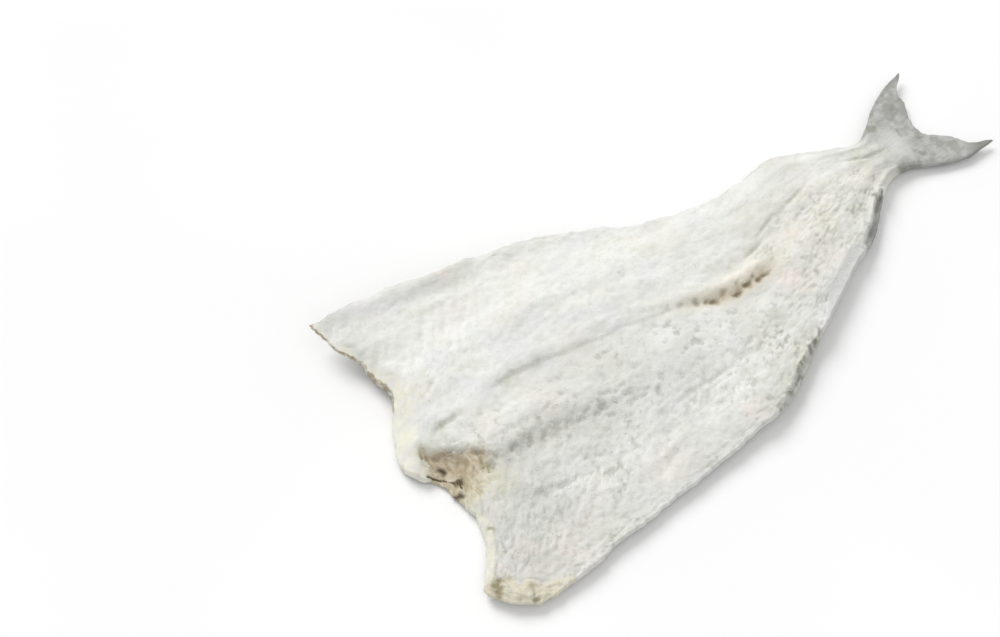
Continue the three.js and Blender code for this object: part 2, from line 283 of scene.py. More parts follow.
# Furrows: middle x and y, direction as y per x, half length, half width, depth.
FURROWS = [(82, -82, 1.5, 12, 4, 1.1), (244, 1, 0.26, 24, 3.4, 1), (120, 30, -0.25, 22, 5, 0.9)]
# The fine ones are left out of the CAD solid.
FINE_FURROWS = [
    (8, 15.6, -0.05, 9, 1.8, 1.9), (13, 37.2, 0.35, 7, 1.2, 0.6), (36, -53, -0.2, 8, 1.4, 1.6),
    (14, -47.5, -0.05, 6, 1.6, 1.0), (26, -46.5, -0.25, 16, 0.8, -0.6), (262, -23, 0.5, 12, 1.8, 0.7),
    (60, 60, -0.15, 26, 3, 0.6), (40, 78, -0.2, 20, 2.4, 0.5), (110, -66, -0.35, 26, 3, 0.35),
    (28, -8.5, -0.12, 18, 1.3, 1.0), (141, -55, -0.04, 24, 1.5, 1.0), (92, -78, 0.25, 10, 2.6, 0.9),
    (217, -7, 0.15, 8, 1.2, 1.4), (233, 1, 0.3, 9, 1.3, 1.1), (260, 5.5, 0.18, 10, 1.3, 1.3),
    (307, 2.5, -0.45, 8, 1.3, 1.1), (319, -0.5, -0.08, 8, 1.1, 0.9), (62, 89, -0.08, 14, 2.5, 0.8),
    (280, -15, 0.3, 20, 1.6, 0.8),
]
# Anal fins along the right edge: middle, half length and width.
ANAL_FINS = [(287, 17, 5), (185, 22, 4)]
FIN_SLOPE_FROM, FIN_SLOPE_BEYOND = 0.55, 2.5  # where the flesh rises: a share of the width, and mm past it


def fin_margin(x):
    """Width of an anal fin at x, 0 where there is none."""
    width = 0 * x
    for middle, reach, widest in ANAL_FINS:
        width = np.maximum(width, widest * np.sqrt(np.clip(1 - ((x - middle) / reach) ** 2, 0, None)))
    return width


def loin(x, y, crest, width):
    """It falls steeply from its crest to the flap, and gently to the backbone line."""
    spine = spine_line(x)
    towards_spine = (y - crest) * (spine - crest) > 0
    return bell(y - crest, np.where(towards_spine, GENTLE_SIDE * np.abs(spine - crest), width))


def furrows(x, y, places):
    """Depth of them all."""
    depths = 0.0
    for middle_x, middle_y, slant, reach, width, depth in places:
        off = y - middle_y - slant * (x - middle_x)
        depths = depths + depth * bell(x - middle_x, reach) * bell(off, width)
    return depths


def thickness(x, y, from_cut, fine=0.0):
    """Of the whole wall. fine is relief that the flesh has and the anal fins don't."""
    thinning = ramp(shoulder(x), 1, outwards(x, y))
    left = left_edge(x)
    t = mix(middle_thickness(x), edge_thickness(x), thinning)
    left_loin = LEFT_LOIN_RISE * left_loin_rise(x) * loin(x, y, left_crest(x), left_loin_width(x))
    right_loin = RIGHT_LOIN_RISE * right_loin_rise(x) * loin(x, y, right_crest(x), right_loin_width(x))
    t = t + np.maximum(left_loin, right_loin)
    off_spine = y - spine_line(x)
    bank = furrow_width(x) * np.where(off_spine < 0, GENTLE_BANK, 1)
    t = t - SPINE_DEPTH * furrow_depth(x) * bell(off_spine, bank)
    t = t - VALLEY_DEPTH * valley_depth(x) * bell(y - valley_line(x), valley_width(x))
    t = t - HOLLOW_DEPTH * bell(x - HOLLOW_X, HOLLOW_REACH) * bell(y - HOLLOW_Y, HOLLOW_WIDTH)
    t = t + rim_rise(x) * bell(left - y - RIM_INSET, RIM_WIDTH)
    t = t - fold_depth(x) * bell(left - y - FOLD_INSET, FOLD_WIDTH)
    t = t - furrows(x, y, FURROWS)
    turns = RIDGES * y / (left - right_edge(x))
    t = t + ridge_height(x) * np.sin(2 * np.pi * turns + RIDGE_PHASE) * (1 - thinning)
    t = t + UNEVENNESS * waves(x, y, 62, 3, 0.9, 1.6) * ramp(340, 310, x)
    at_loin = bell(y - LOIN_CUT_Y, LOIN_CUT_WIDTH)
    slope = ramp(0, mix(CUT_LENGTH, LOIN_CUT_LENGTH, at_loin), from_cut)
    t = t * mix(mix(CUT_SHARE, LOIN_CUT_SHARE, at_loin), 1, slope) + fine
    margin = fin_margin(x)
    rise = ramp(FIN_SLOPE_FROM * margin, margin + FIN_SLOPE_BEYOND, y - right_edge(x))
    fin = mix(np.minimum(t, ANAL_FIN_THICKNESS), t, rise)
    t = np.where((margin > 0) & (y < 0), fin, t)
    return np.maximum(t, TAIL_FIN_THICKNESS)


# ------ where the flesh is what
# Corners of the hollow at the nape, clockwise. The flesh overhangs its first side.
TORN_HOLLOW = [(-12, 11.5), (17, -9), (13, -19), (-6, -31), (-30, -24), (-20, -3)]
# Cracks in it: corners, half width, strength.
CRACKS = [
    ([(-18, -1), (-14.5, -4.5), (-11, -8.8), (-8, -11.8), (-5.8, -14), (-7.5, -17.8)], 0.8, 1),
    ([(-2.5, 6), (3.1, 0.8), (9.7, -4.5), (13.4, -9.7)], 0.8, 0.45),
    ([(-12.5, 9), (-9, 6.5), (-7, 3)], 1.2, 0.35),
]

# Spots and pits: x, y, radius, strength.
GAPS = [
    (-9.5, -3, 3.1, 1), (-6.3, -13.5, 2.5, 1), (-12, -20.5, 3.3, 1), (-10.5, 7.5, 2.4, 0.45),
    (5.5, -2, 3, 0.5), (9.5, -5.5, 3, 0.35), (-16, 3, 3.5, 0.35), (4, -12, 2, 0.25), (-1, -9, 2.5, 0.25),
]
# Stains; the three at x 22 to 35 near y -19 lie along the crease and are painted shade.
STAINS_AND_CREASE_SHADE = [
    (-12, -48, 2.4, 0.8), (-13.3, -60, 2, 0.55), (-15, -62.5, 2.2, 0.6), (-16.8, -64.6, 2, 0.5),
    (-24, -69, 2.2, 0.35), (-27, -72.5, 2.3, 0.5), (-30, -76, 3, 1), (-32, -79, 3, 1),
    (-32.5, -82, 2.6, 0.85), (-26.5, -76.5, 2.6, 0.7), (-22.8, -76.6, 2.4, 0.45), (-16.5, -88, 2.8, 0.6),
    (-18, -91, 3, 0.65), (-19.5, -95, 2.8, 0.95), (22, -17.8, 3, 0.5), (28.5, -19.3, 3, 0.42),
    (35, -20.5, 2.5, 0.3), (-27, -87, 4.5, 0.25), (-8, -90.5, 3, 0.2), (-4, -96, 3.5, 0.25),
    (-9, -32, 2, 0.4),
]
PITS = [
    (148, -2, 2, 0.3), (152, -5, 2.2, 0.45), (158, -8.5, 2.2, 0.5), (167.5, -12, 2.6, 0.6),
    (173.5, -16, 2.2, 0.75), (177.5, -17.6, 2.4, 0.85), (184, -16.5, 2.6, 0.6), (182, -19.5, 2, 0.45),
    (190.9, -21.5, 2.8, 1), (194.8, -18, 2.4, 0.55), (199, -21.6, 2.6, 0.95), (204, -19.2, 2.4, 0.7),
    (207.5, -22.6, 2.4, 0.9), (211, -21.8, 2.4, 0.85), (214.5, -21.6, 2.4, 0.5), (187, -23.5, 2, 0.35),
    (220, -21, 2, 0.25), (235.7, -39.8, 2.8, 0.6), (226.5, -45.7, 3, 0.55), (229, -50, 2.6, 0.4),
    (218, -42.5, 3.5, 0.25), (251.2, -21.7, 2.4, 0.4), (248.8, -26.4, 2.4, 0.45), (198, -53, 2, 0.3),
    (131, -91, 2.2, 0.45), (158, -90.5, 2.2, 0.4),
]

# Olive tints; where rows of them follow furrows and the left loin's lip they are painted shade.
OLIVE_AND_SHADE_SPOTS = [
    (8, -22, 4.5, 0.9), (0, 45, 5, 0.5), (5, 16, 3.5, 0.9), (15, 17, 3.5, 0.7), (-20, 22, 4, 0.5),
    (-5, 38, 6, 0.6), (-15, 9, 4, 0.5), (175, -80, 9, 0.6), (189, -76, 8, 0.6), (200, -72, 6, 0.9),
    (12, -35, 7, 0.4), (308, 3, 5, 0.6), (317, 0, 4, 0.7), (326, -1, 4, 0.6), (9, 35.8, 1.9, 0.9),
    (13, 37.3, 1.9, 0.9), (17.5, 38.8, 1.9, 0.7), (49, 16.7, 3, 0.6), (56, 17, 3, 0.7), (63, 17.2, 3, 0.7),
    (72, 15.5, 4, 0.5), (85, 11, 4, 0.4), (98, 7.5, 4, 0.3), (216, -7, 5, 0.5), (232, 1, 5, 0.4),
    (262, 6, 5, 0.4), (196, -47, 5, 0.6), (200, 18, 7, 0.3), (268, 28, 9, 0.3), (286, -12, 9, 0.35),
    (265, -16, 8, 0.3),
]
# Dark blots on the fins; the row from x 158 to 209 where the front anal fin meets the flesh is painted shade
# in its fold.
BLOTS_AND_FOLD_SHADE = [
    (331, 14.5, 4.5, 0.85), (338, 19.5, 3.5, 0.5), (363, 20.5, 4.5, 0.8), (354, 20, 4, 0.75),
    (347, 14.5, 3.5, 0.6), (345, 4.5, 3, 0.7), (340, 9, 3, 0.3), (352, -6.5, 3, 0.8), (349, -20, 5, 0.5),
    (341, -14, 4, 0.45), (327, -16, 4, 0.7), (335, -18, 4, 0.6), (345, -15, 4, 0.8), (329, 0, 4, 0.3),
    (375, -32, 6, 0.7), (299.7, -24.2, 2.4, 0.9), (279, -39.5, 4, 0.7), (268, -44.5, 3, 0.5),
    (209.4, -70.8, 2.2, 0.9), (203.2, -73.7, 2.6, 1), (196.7, -75.7, 2.4, 0.9), (190, -78.3, 2, 0.8),
    (186.9, -79.8, 2.2, 1), (183, -82, 2, 0.8), (179.6, -84.3, 2.4, 1), (175.3, -87, 2.4, 0.9),
    (169.4, -88.8, 2.8, 0.9), (162, -91, 2.4, 0.7), (158, -92.3, 2.6, 0.8), (358, -12, 4, 0.3),
    (361, 27, 3, 0.35), (352, 28, 3, 0.35),
]
PINK_SPOTS = [
    (220, -33, 8, 0.9), (241, -13, 7, 0.7), (147, -83, 6, 0.8), (150, -89, 4, 0.5), (224, -44, 6, 0.6),
    (235, -38, 4, 0.5), (88, -80, 9, 0.4), (10, 38, 5, 0.4), (25, 1, 9, 0.35), (250, -40, 6, 0.4),
    (15, -82, 11, 0.5), (34, -76, 9, 0.4), (-4, -70, 8, 0.4), (300, -8, 9, 0.3), (60, -8, 12, 0.3),
    (-12, -83, 6, 0.6), (-3, -87, 6, 0.5), (-22, -71, 4, 0.5), (-3, -41, 4, 0.4), (66, 91.5, 5, 0.7),
    (75, 91, 4, 0.5), (101, 69, 8, 0.35), (68, 68, 8, 0.25), (5, 45, 4, 0.4),
]

# Greyer flesh, partly painted shade: x, y, reach along and across, slant as y per x, strength.
GREY_AND_SHADE_ZONES = [
    (-5, -60, 60, 40, 0, 0.55), (50, -22, 60, 8, -0.2, 0.5), (62, 89, 18, 5, 0, 0.45),
    (0, 74, 60, 12, 0, 0.35), (8, 30, 22, 10, 0, 0.2), (70, -88, 110, 12, 0, 0.55),
    (262, -40, 50, 12, 0.45, 0.4), (240, 2, 40, 12, 0.2, 0.25), (322, 0, 20, 16, 0, 0.75),
    (240, 28, 60, 8, 0, 0.35), (205, -42, 34, 22, -0.2, 0.3), (120, -36, 60, 16, -0.15, 0.4),
    (110, 2, 60, 9, -0.3, 0.35), (-2, 82, 10, 12, 0, 0.6), (12, -20, 14, 9, 0, 0.5),
    (45, -42, 70, 13, -0.1, 0.35), (275, -22, 45, 10, 0.35, 0.25), (78, -1, 30, 7, -0.2, 0.3),
    (130, -52, 30, 8, 0, 0.3), (110, -92, 40, 5, 0, 0.3), (325, -14, 16, 5, 0, 0.4),
    (50, -8, 32, 7, -0.2, 0.35), (122, -21, 35, 8, -0.3, 0.35), (195, -27, 22, 5, 0, 0.4),
    (150, -83, 30, 8, 0.1, 0.3), (150, 8, 18, 6, -0.3, 0.4), (186, 13, 16, 5, 0, 0.35),
    (200, -54, 12, 6, 0, 0.35), (222, -48, 12, 8, 0, 0.25), (218, -25, 9, 4, 0, 0.4),
    (300, 18, 13, 6, 0, 0.5), (-2, 106, 14, 4, 0, 0.5), (84, 90, 10, 4, 0, 0.4), (122, 54, 14, 10, 0, 0.3),
    (25, -27, 14, 6, 0, 0.3), (80, -38, 24, 5, -0.15, 0.3), (15, -48, 25, 6, 0, 0.3),
    (-4, -80, 12, 14, 0, 0.3), (252, -57, 14, 4, 0.4, 0.4), (160, -91, 12, 4, 0, 0.5),
    (7, 15.3, 12, 2.6, 0, 0.6),
]

LIP_OFFSET = 8  # from the backbone line to the lip beside its torn end
PIT_SQUEEZE = 0.75  # width of a pit, in lengths


def highest(*shares):
    return functools.reduce(np.maximum, shares)


def spots(x, y, places, ragged=2.2):
    """Ragged spots, each as strong as it says in its middle."""
    u = x + ragged * noise(x, y, 4.5, 5)
    v = y + ragged * noise(x, y, 4.5, 6)
    total = 0 * x
    for middle_x, middle_y, radius, strength in places:
        total = np.maximum(total, strength * bell(np.hypot(u - middle_x, v - middle_y), radius))
    return total


def pits(x, y):
    """Most lie along the backbone line, drawn out by the knife."""
    squeezed = [(PIT_SQUEEZE * middle_x, *rest) for middle_x, *rest in PITS]
    return spots(PIT_SQUEEZE * x, y, squeezed, 1.3)


# Stains, and painted shade where three of them lie along the crease.
def stains(x, y):
    return spots(x, y, STAINS_AND_CREASE_SHADE, 1.7)


def gaps(x, y):
    """Gaps and ragged cracks in the hollow, 1 along their middles; the colour paints dark shadow in them."""
    u = x + 0.9 * noise(x, y, 3.5, 43)
    v = y + 0.9 * noise(x, y, 3.5, 44)
    total = 0.9 * spots(x, y, GAPS, 1.6)
    for corners, half_width, strength in CRACKS:
        width = half_width * (1 + 0.5 * noise(x, y, 5, 45))
        for (x0, y0), (x1, y1) in zip(corners, corners[1:]):
            length = math.hypot(x1 - x0, y1 - y0)
            along = np.clip(((u - x0) * (x1 - x0) + (v - y0) * (y1 - y0)) / length**2, 0, 1)
            off = np.hypot(u - mix(x0, x1, along), v - mix(y0, y1, along))
            total = np.maximum(total, strength * bell(off, width))
    return total


def right_of(x, y, start, end):
    """Distance in mm to the right of the line from start to end."""
    (x0, y0), (x1, y1) = start, end
    return ((x - x0) * (y1 - y0) - (y - y0) * (x1 - x0)) / math.hypot(x1 - x0, y1 - y0)


def depth_inside(x, y, corners):
    """Distance in mm inside a shape with convex, clockwise corners."""
    depth = np.inf
    for start, end in zip(corners, corners[1:] + corners[:1]):
        depth = np.minimum(depth, right_of(x, y, start, end))
    return depth


def below_overhang(x, y):
    """Distance in mm below the flesh that overhangs the hollow."""
    return right_of(x, y, *TORN_HOLLOW[:2])


def hollow_share(x, y):
    """1 in the torn brown hollow."""
    return ramp(-3.5, 3.5, depth_inside(x, y, TORN_HOLLOW) + 3.4 * rough(x, y, 8, 3, 3))


def brown_and_shade_share(x, y):
    """1 where the hollow is darkest: brown tissue, and painted shade below the overhang and in its depth."""
    below = below_overhang(x, y) + 1.5 * noise(x, y, 6, 32)
    deep = 0.9 * bell(np.hypot((x + 5) / 11, (y + 10) / 14), 1)
    return np.maximum(bell(below - 2, 2.2), 0.7 * deep) * (0.75 + 0.9 * noise(x, y, 4, 33))


def fibres(x, y):
    """Torn strands in the hollow, from about -1 between them to 1 along their middles."""
    across = x - 0.45 * y + 1.5 * noise(x, y, 9, 34)
    return 1 - 2.2 * np.abs(noise(across, 0.3 * y, 3.4, 16))


def fin_share(x, y):
    """1 on the tail fin; the flesh ends in tongues before it."""
    tongues = 6 * noise(x * 0.3, y, 8, 1) + 2.5 * noise(x * 0.3, y, 3, 2)
    return ramp(319, 336, x + tongues + 0.75 * np.abs(y + 2) - 5)


def fin_shades(x, y):
    """Paler at the tail fin's root, and darker along all edges."""
    depth = np.minimum(left_edge(x) - y, y - right_edge(x))
    patches = mix(0.5, 1, ramp(-0.2, 0.4, noise(x, y, 14, 29))) * mix(0.6, 1, ramp(305, 318, x))
    edge = ramp(4, 0.5, depth + 1.5 * noise(x, y, 6, 28)) * patches
    tip = ramp(366, 380, x)
    root = bell(x - 335, 12) * bell(y, 13) * ramp(1, 6, depth)
    return {"root": root, "edge": np.maximum(edge, tip)}


def margin_share(x, y):
    """1 on the rear anal fin, and less on the front one."""
    margin = fin_margin(x)
    depth = y - right_edge(x)
    share = ramp(1.3 * margin + 0.5, 0.9 * margin, depth) * mix(0.55, 1, ramp(220, 260, x))
    return np.where((margin > 0.6) & (y < 0), share, 0)


strip_width = track((206, 0), (213, 1.5), (222, 3), (232, 7), (246, 10), (258, 9.5), (266, 7), (276, 0))


def edge_strip(x, y):
    """1 on the smooth strip along the edge between the two anal fins."""
    width = strip_width(x)
    depth = y - right_edge(x) + 0.8 * noise(x, y, 6, 47)
    return ramp(width + 0.6, 0.8 * width - 0.6, depth) * ramp(0.5, 2, width) * (y < 0)


crease_line = track((5, -12), (20, -17.5), (40, -20.5), (60, -24), (80, -28), (100, -33), (130, -41))


def crease_share(x, y):
    """1 along the ragged crease between the right loin and the flap, where the colour paints shade."""
    off = y - crease_line(x) - 1.8 * noise(x, 0, 9, 25) - 1.2 * noise(x, y, 4, 31)
    broken = np.clip(0.5 + 1.6 * noise(x, y, 5, 26), 0, 1.4)
    return broken * bell(off, 2.2) * ramp(2, 14, x) * ramp(128, 85, x)


torn_along_spine = track((140, 0), (160, 0.4), (176, 1), (208, 1), (217, 0.6), (226, 0))


def torn_near(x, y, s, from_cut):
    """1 where flesh around pits and stains is torn and yellowish."""
    spine = torn_along_spine(x) * bell(y - spine_line(x) - 3, 5)
    cut = 0.25 * ramp(-0.45, -0.52, s) * ramp(11, 8, from_cut)
    below = -(y + 99.5) + 0.77 * (5 - x) + 4 * noise(x, y, 7, 39)
    corner = ramp(-2, 2, below) * ramp(-62, -72, y)
    return np.clip(highest(spine, cut, corner), 0, 1) * ramp(320, 300, x)


def cut_share(x, y, from_cut):
    """1 on the cream-coloured nape cut, which is widest at the left loin."""
    width = 5 + 18 * bell(y - 26, 22) + 4 * ramp(-38, -50, y)
    return ramp(1.25 * width, 0.4 * width, from_cut + 2.4 * noise(x, y, 7, 27))


def yellow_share(x, y):
    """1 beside the hollow, and less in front of the tail."""
    nape = bell(np.hypot((x - 3) / 13, (y + 25) / 12), 1)
    return np.maximum(nape, 0.3 * bell(np.hypot((x - 265) / 60, (y + 14) / 22), 1))


def grey_and_shade_share(x, y):
    """1 where the flesh is greyest, partly grey flesh and partly painted shade."""
    total = 0.0
    for middle_x, middle_y, along, across, slant, strength in GREY_AND_SHADE_ZONES:
        v = y - middle_y - slant * (x - middle_x)
        total = total + strength * bell(np.hypot((x - middle_x) / along, v / across), 1)
    return np.clip(total, 0, 1)


def calm(x, y):
    """1 on the smoother part of the right flap."""
    return bell(x - 100, 45) * bell(y + 76, 17)


def pitted(x, y, s):
    """1 in the deepest dimples between the clots of salt. The colour greys them, partly as painted shade."""
    valley = 1.2 * bell(x - 85, 60) * bell(y + 34 + 0.2 * (x - 85), 13)
    right = 0.95 * ramp(0.1, -0.15, s) * ramp(230, 190, x) * (1 - 0.75 * calm(x, y))
    crest = 0.6 * bell(x - 25, 35) * bell(y - 32, 14)
    rear = 0.9 * ramp(190, 230, x) * ramp(325, 300, x) * ramp(0.5, 0.1, s)
    elsewhere = 0.28
    dense = highest(valley, right, rear, crest, elsewhere)
    hole = ramp(0.12, 1.0, rough(x, y, 6.4, 3, 41, 0.8))
    # Strokes on the right flap near the cut.
    strokes = ramp(0.1, 0.8, noise(0.5 * x - 0.86 * y, (0.86 * x + 0.5 * y) / 2.2, 3.6, 46))
    scored = 0.9 * strokes * bell(x - 2, 34) * bell(y + 66, 20)
    return np.maximum(dense * hole * (0.8 + 0.5 * noise(x, y, 22, 42)), scored)


def coarse_share(x, y, s):
    """1 where the salt is rough, and 0.4 on the smooth crests. It darkens the colour, partly as painted
    shade.
    """
    valley = valley_depth(x) * bell(y - valley_line(x), 16)
    rear = 0.5 * ramp(190, 235, x) * ramp(325, 300, x) * ramp(0.7, 0, s)
    right = mix(0.75, 1, ramp(150, 20, x)) * ramp(-0.3, -0.5, s) * (1 - 0.5 * calm(x, y))
    return 0.4 + 0.6 * np.clip(highest(valley, rear, right), 0, 1)


# ------ fine relief, in mm
PITTED_DEPTH, CREASE_DEPTH, GROOVE_DEPTH = 0.7, 1.4, 0.8
GAP_DEPTH, PIT_DEPTH, STAIN_DEPTH = 1.5, 0.9, 0.5
TORN_LIP_HEIGHT, OVERHANG_HEIGHT = 0.7, 1.3

# y and height of the lip in which the left loin ends above the backbone line.
loin_lip_line = track((35, 18.8), (52, 18), (65, 16.3), (81, 13), (95, 10.5))
loin_lip_height = track((30, 0), (42, 1.1), (54, 1.8), (67, 1.5), (85, 0.7), (108, 0))


def loin_lip(x, y):
    """Height of the lip, steep towards the backbone line and gentle towards the crest."""
    off = y - loin_lip_line(x) - 0.8 * noise(x, 0, 11, 48)
    return loin_lip_height(x) * bell(off, np.where(off > 0, 9, 1.3))


def overhang(x, y):
    """The flesh above the hollow, steep towards it."""
    off = -below_overhang(x, y) - 1.5 + 1.2 * noise(x, y, 7, 49)
    return OVERHANG_HEIGHT * bell(off, np.where(off > 0, 7, 1.5)) * bell(x - 3, 16)


def clots(x, y):
    """Clots of salt with thin clefts between, higher in patches."""
    crust = 0.75 * np.abs(noise(x, y, 5.2, 14)) + 0.45 * np.abs(noise(x, y, 3.2, 21)) - 0.3
    patches = 0.8 + 0.6 * ramp(0, 0.5, noise(x, y, 22, 24))
    return 0.4 * noise(x, y, 5.5, 13) + crust * patches


def ribs(x, y, s):
    """Slanting lines that they left on the flaps."""
    slanted = 0.8 * x - 0.6 * y
    on_flap = ramp(0.25, 0.45, np.abs(s)) * ramp(110, 70, x) * ramp(-0.3, 0.4, noise(x, y, 30, 37))
    return 0.55 * noise(slanted, (0.6 * x + 0.8 * y) / 4, 4.2, 23) * on_flap


def groove(x, y):
    """Where the backbone lay, steep on the left side."""
    line = spine_line(x) + 1.2 * noise(x, 0, 14, 22)
    bank = np.where(y > line, 1.2, 22)
    return GROOVE_DEPTH * bell(y - line, bank) * ramp(68, 90, x) * ramp(165, 140, x)


def torn_lip(x, y):
    """The rolled lip beside the torn end of the furrow."""
    uneven = 1 + 0.9 * noise(x, y, 6, 18)
    return TORN_LIP_HEIGHT * bell(x - 196, 20) * bell(y - (spine_line(x) + LIP_OFFSET), 3.5) * uneven


def fin_rays(x, y):
    """They fan out from the tail fin's root."""
    angle = np.arctan2(y + 3, x - 300)
    rays = 0.04 * np.sin(92 * angle + 0.8 * noise(x, y, 20, 19))
    return rays + 0.12 * noise(x, y, 9, 20)


def fine_relief(x, y, s, from_cut):
    """What the salt, the knife and the drying did to the flesh."""
    across = 100 * s
    narrow = np.clip((left_edge(x) - right_edge(x)) / 180, 0.15, 1)
    coarse = coarse_share(x, y, s)
    relief = narrow * (0.12 * noise(x / 5, across, 7, 10) + 0.12 * noise(x / 2, y, 4, 11))
    relief = relief + 0.62 * rough(x, y, 21, 2, 12) + 0.3 * noise(x, y, 11, 36)
    wrinkles = -0.4 * bell(noise(x / 1.5, across + 0.25 * x, 10, 15), 0.08)
    relief = relief + clots(x, y) * coarse + wrinkles * coarse * narrow + ribs(x, y, s)
    relief = relief - PITTED_DEPTH * pitted(x, y, s) - CREASE_DEPTH * crease_share(x, y)
    relief = relief - furrows(x, y, FINE_FURROWS) - groove(x, y)
    relief = relief + loin_lip(x, y) + overhang(x, y) + torn_lip(x, y)
    tissue = 1.1 * fibres(x, y) + 0.8 * rough(x, y, 6, 3, 17) - 1.2
    relief = relief + hollow_share(x, y) * tissue
    relief = relief - GAP_DEPTH * gaps(x, y) - PIT_DEPTH * pits(x, y) - STAIN_DEPTH * stains(x, y)
    relief = mix(relief, fin_rays(x, y), fin_share(x, y))
    relief = mix(relief, 0, 0.65 * edge_strip(x, y))
    # Less of it on the tail fin and on the high rim of the left flap.
    lower = np.maximum(ramp(330, 350, x), ramp(90, 104, y))
    return relief * ramp(-2, 4, from_cut) * mix(1, 0.55, lower)


def surface(x, y, s):
    """(underside, top) heights of the visible fish."""
    from_cut = x - nape_cut(s)
    low = underside(x, y)
    return low, low + thickness(x, y, from_cut, fine_relief(x, y, s, from_cut))


# ------ the mesh
# Rows lie closer together at the cut and in the tail fin, columns closer towards the edges.
row_place = track((0, 0), (0.12, 0.05), (0.72, 0.78), (1, 1))
column_place = track((-1, -1), (-0.85, -0.95), (-0.62, -0.72), (0, 0), (0.62, 0.72), (0.85, 0.95), (1, 1))


def grid_shares(rows, columns):
    t = row_place(np.linspace(0, 1, rows))
    s = column_place(np.linspace(-1, 1, columns))
    return np.meshgrid(t, s, indexing="ij")


solid_low, solid_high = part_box("split_pollock")


def placement():
    """From the fish's frame to the CAD frame along x and y, by the solid's box in both."""
    t, s = grid_shares(SOLID_ROWS, SOLID_COLUMNS)
    x, y = plan(t, s)
    middle = [(x.min() + x.max()) / 2, (y.min() + y.max()) / 2]
    return [(solid_low[i] + solid_high[i]) / 2 / MM - middle[i] for i in range(2)]


SHIFT_X, SHIFT_Y = placement()


def to_cad(points):
    """From the fish's frame, in mm, to the CAD frame, in metres."""
    return (np.asarray(points, float) + [SHIFT_X, SHIFT_Y, 0]) * MM


def rim_index(rows, columns):
    """Grid indices of the rim, once round, counter-clockwise from above."""
    row, column = np.arange(rows - 1), np.arange(columns - 1)
    return np.concatenate([
        row * columns, (rows - 1) * columns + column, row[::-1] * columns + 2 * columns - 1, column[::-1] + 1,
    ])


def add_mesh(name, points, faces, shares=None, smooth=True):
    """A piece from points in the fish's frame, with a float attribute for each share."""
    points, faces = to_cad(points), np.asarray(faces)
    corners = faces.shape[1]
    mesh = bpy.data.meshes.new(name)
    mesh.vertices.add(len(points))
    mesh.vertices.foreach_set("co", points.ravel())
    mesh.loops.add(faces.size)
    mesh.loops.foreach_set("vertex_index", faces.ravel().astype(np.int32))
    mesh.polygons.add(len(faces))
    mesh.polygons.foreach_set("loop_start", np.arange(0, faces.size, corners, dtype=np.int32))
    mesh.update(calc_edges=True)
    mesh.polygons.foreach_set("use_smooth", np.full(len(faces), smooth))
    for key, values in (shares or {}).items():
        attribute = mesh.attributes.new(key, "FLOAT", "POINT")
        attribute.data.foreach_set("value", np.asarray(values, np.float32).ravel())
    mesh.validate()
    piece = bpy.data.objects.new(name, mesh)
    bpy.context.scene.collection.objects.link(piece)
    return piece


def grid_faces(rows, columns, upwards=True):
    """Quads of a grid whose points are listed row by row."""
    row, column = np.meshgrid(np.arange(rows - 1), np.arange(columns - 1), indexing="ij")
    a = (row * columns + column).ravel()
    faces = np.stack([a, a + columns, a + columns + 1, a + 1], 1)
    return faces if upwards else faces[:, ::-1]


t_grid, s_grid = grid_shares(ROWS, COLUMNS)
x_top, y_top = plan(t_grid, s_grid, EDGE_ROUND, 1.0)
low_top, high_top = surface(x_top, y_top, s_grid)


def flesh_shares(x, y, s, on_rim):
    """What the flesh's material reads at each point, by name."""
    from_cut = x - nape_cut(s)
    spine = spine_line(x)
    fin = fin_share(x, y)
    return {
        "pits": pits(x, y),
        # Stains, and painted shade along the crease.
        "stains": stains(x, y),
        # Painted shadow in the hollow's gaps and cracks.
        "gaps": gaps(x, y),
        "torn": torn_near(x, y, s, from_cut),
        "hollow": hollow_share(x, y) * ramp(60, 30, x),
        "fin": fin,
        "margin": margin_share(x, y),
        "cut": cut_share(x, y, from_cut) * (1 - fin),
        # Tan flesh beside the pits, and painted shadow below the rolled lip.
        "tan_and_lip_shadow": bell(x - 193, 23) * bell(y - spine - 0.8, 3.8),
        # Cream tint and painted highlight on the rolled lip beside the furrow's torn end.
        "lip": bell(x - 197, 24) * bell(y - spine - LIP_OFFSET, 3.6),
        # Grey flesh, partly painted shade.
        "grey": grey_and_shade_share(x, y),
        # Rough salt; in the colour it also paints the valley's shade.
        "coarse": coarse_share(x, y, s),
        # Greyer flesh and painted shade in the dimples.
        "pitted": pitted(x, y, s),
        "lower": ramp(-6, -24, y + 3 * noise(x, y, 6, 38)),
        # Brownish cut face on the left flap's rim near the nape, and painted shade of the gap beneath it.
        "rim_brown_and_shade": on_rim * ramp(34, 46, y) * ramp(30, 10, x),
        "strip": edge_strip(x, y),
        # Painted shade along the crease.
        "crease": crease_share(x, y),
        "yellow": yellow_share(x, y),
        # Brown tissue, and painted shade below the overhang and deep in the hollow.
        "brown": brown_and_shade_share(x, y),
        # Where the fibres stand; the colour paints shade between them.
        "fibre": 0.5 + 0.5 * fibres(x, y),
        # Olive tints, partly painted shade along furrows and the left loin's lip.
        "olive_and_shade": spots(x, y, OLIVE_AND_SHADE_SPOTS),
        # Dark blots, partly painted shade where the front anal fin meets the flesh.
        "blots_and_fold_shade": spots(x, y, BLOTS_AND_FOLD_SHADE),
        "pink": spots(x, y, PINK_SPOTS),
        **fin_shades(x, y),
    }


